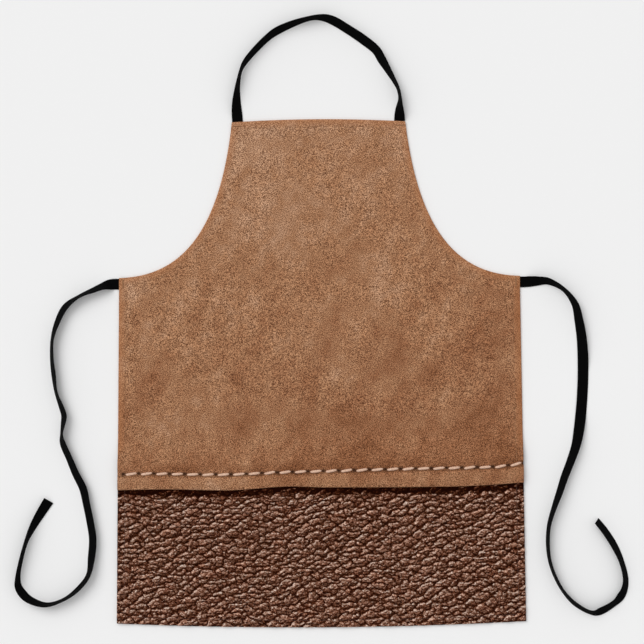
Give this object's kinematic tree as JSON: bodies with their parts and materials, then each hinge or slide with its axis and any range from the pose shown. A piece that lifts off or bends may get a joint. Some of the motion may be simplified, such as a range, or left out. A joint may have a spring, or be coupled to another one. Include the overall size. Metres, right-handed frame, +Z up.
{
  "type": "welding apron",
  "caption": "Bib apron of suede over pebble-grain leather, joined by a stitched lap seam, with a fixed neck loop and two free tape waist ties, lying flat.",
  "frame": {"origin": "on the resting surface, under the middle of the two panels' box", "axes": "+X to the right of the laid apron, +Y from the hem to the bib, +Z up from the surface, out of the front face"},
  "size_m": [0.9123, 0.9112, 0.0161],
  "materials": {
    "suede": "napped suede, mottled tan, matt",
    "pebble_leather": "pebble-grain leather, dark brown, satin",
    "black_tape": "woven polyester tape, black, matt",
    "pale_thread": "waxed pale beige thread",
    "tan_thread": "tan thread that matches the suede",
    "brown_thread": "dark brown thread that matches the pebble leather"
  },
  "bodies": {
    "panels": {"upper_panel": "suede", "lower_panel": "pebble_leather", "lap_seam_thread": "pale_thread", "bib_top_hem_thread": "tan_thread", "armhole_hem_thread_left": "tan_thread", "armhole_hem_thread_right": "tan_thread", "upper_side_hem_thread_left": "tan_thread", "upper_side_hem_thread_right": "tan_thread", "lower_side_hem_thread_left": "brown_thread", "lower_side_hem_thread_right": "brown_thread", "bottom_hem_thread": "brown_thread", "neck_strap_tail_left": "black_tape", "neck_strap_tail_right": "black_tape", "waist_tie_tail_left": "black_tape", "waist_tie_tail_right": "black_tape", "neck_bar_tack_left": "tan_thread", "neck_bar_tack_right": "tan_thread", "waist_bar_tack_left": "tan_thread", "waist_bar_tack_right": "tan_thread"},
    "neck_strap": {"neck_loop": "black_tape"},
    "left_tie": {"waist_tie_left": "black_tape"},
    "right_tie": {"waist_tie_right": "black_tape"}
  },
  "joints": [
    {"name": "neck_loop_swing", "type": "hinge", "parent": "panels", "child": "neck_strap", "pos_m": [0, 0.3753, 0.004], "axis": [1, 0, 0], "range_deg": [0, 150]},
    {"name": "left_tie_swing", "type": "hinge", "parent": "panels", "child": "left_tie", "pos_m": [-0.2988, 0.1344, 0.004], "axis": [0, 1, 0], "range_deg": [0, 150]},
    {"name": "right_tie_swing", "type": "hinge", "parent": "panels", "child": "right_tie", "pos_m": [0.2988, 0.1344, 0.004], "axis": [0, -1, 0], "range_deg": [0, 150]}
  ]
}
